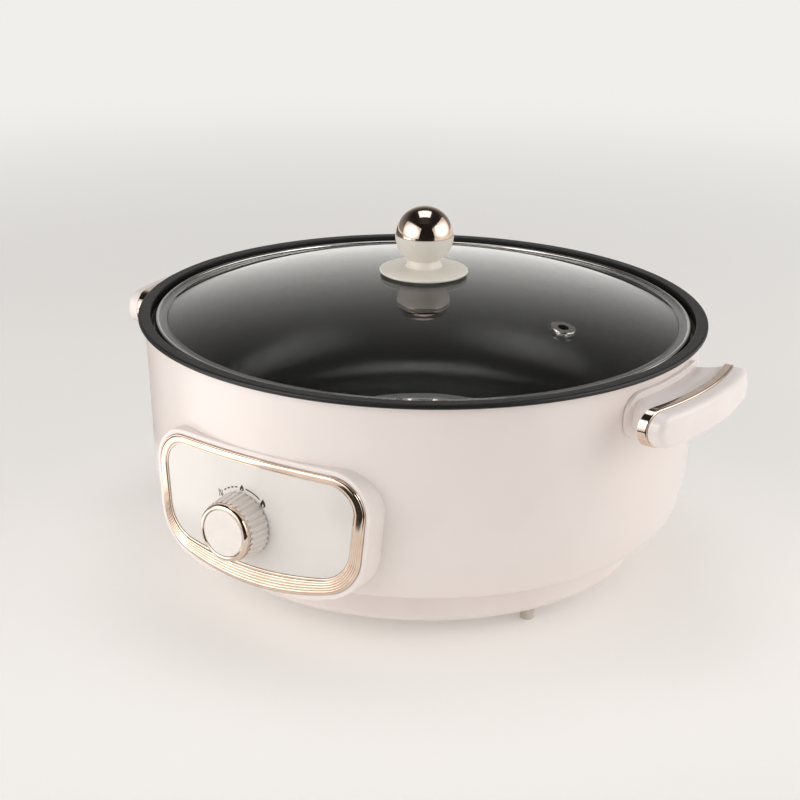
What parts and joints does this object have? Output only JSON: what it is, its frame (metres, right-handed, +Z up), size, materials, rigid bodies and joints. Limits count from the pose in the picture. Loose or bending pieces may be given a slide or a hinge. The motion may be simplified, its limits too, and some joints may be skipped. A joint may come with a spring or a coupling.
{
  "type": "electric hot pot with lid",
  "caption": "Round electric hot pot with a bowed control panel, fluted dial, side handles, black pan and a lift-off domed glass lid with a ball knob.",
  "frame": {"origin": "on the table, on the axis of the pan, in the plane of the four feet's undersides", "axes": "+Z up along the pan's axis; the control panel faces -Y; the handles stand at +X and -X"},
  "size_m": [0.3938, 0.3534, 0.2167],
  "materials": {
    "housing_cream": "moulded polypropylene, smooth satin gloss",
    "handle_cream": "moulded plastic, smooth satin gloss",
    "rose_gold": "plated plastic, polished rose gold",
    "panel_ivory": "back-printed smooth plate, gloss",
    "dial_cream": "moulded plastic, soft gloss",
    "nonstick_black": "baked non-stick coating on cast aluminium",
    "lid_glass": "clear tempered glass",
    "lid_steel": "rolled stainless steel, polished",
    "knob_ivory": "moulded plastic, soft gloss",
    "silicone_clear": "silicone",
    "screw_steel": "zinc-plated steel",
    "base_cream": "moulded polypropylene, fine texture",
    "foot_grey": "moulded rubber",
    "element_steel": "annealed stainless sheath",
    "shield_aluminised": "pressed aluminised sheet",
    "post_steel": "turned zinc-plated steel",
    "electrical_black": "moulded phenolic, matt",
    "contact_brass": "nickel-plated brass"
  },
  "bodies": {
    "pot": {"outer_housing": "housing_cream", "base_cover": "base_cream", "foot_pads": "foot_grey", "base_screws": "screw_steel", "inner_pan": "nonstick_black", "heating_element": "element_steel", "pan_posts": "post_steel", "heat_shield": "shield_aluminised", "thermal_cutout": "electrical_black", "control_bezel": "rose_gold", "control_panel": "panel_ivory", "thermostat_body": "electrical_black", "thermostat_nut": "screw_steel", "handle_right_bracket": "handle_cream", "handle_right_trim": "rose_gold", "handle_right_cap": "handle_cream", "handle_left_bracket": "handle_cream", "handle_left_trim": "rose_gold", "handle_left_cap": "handle_cream", "handle_screws": "screw_steel", "power_inlet": "electrical_black", "inlet_pins": "contact_brass", "inlet_screws": "screw_steel"},
    "dial": {"dial_skirt": "dial_cream", "dial_ring": "rose_gold", "dial_face": "dial_cream", "thermostat_shaft": "post_steel"},
    "lid": {"lid_glass": "lid_glass", "lid_rim_band": "lid_steel", "lid_vent_grommet": "lid_steel", "lid_knob_base": "knob_ivory", "lid_knob_cap": "rose_gold", "lid_knob_gasket": "silicone_clear", "lid_knob_washer": "lid_steel", "lid_knob_screw": "screw_steel"}
  },
  "joints": [
    {"name": "lid_lift", "type": "slide", "parent": "pot", "child": "lid", "axis": [0, 0, 1], "range_m": [0, 0.16]},
    {"name": "dial_turn", "type": "hinge", "parent": "pot", "child": "dial", "pos_m": [-0.007, -0.166, 0.0695], "axis": [0, 1, 0], "range_deg": [0, 135]}
  ]
}
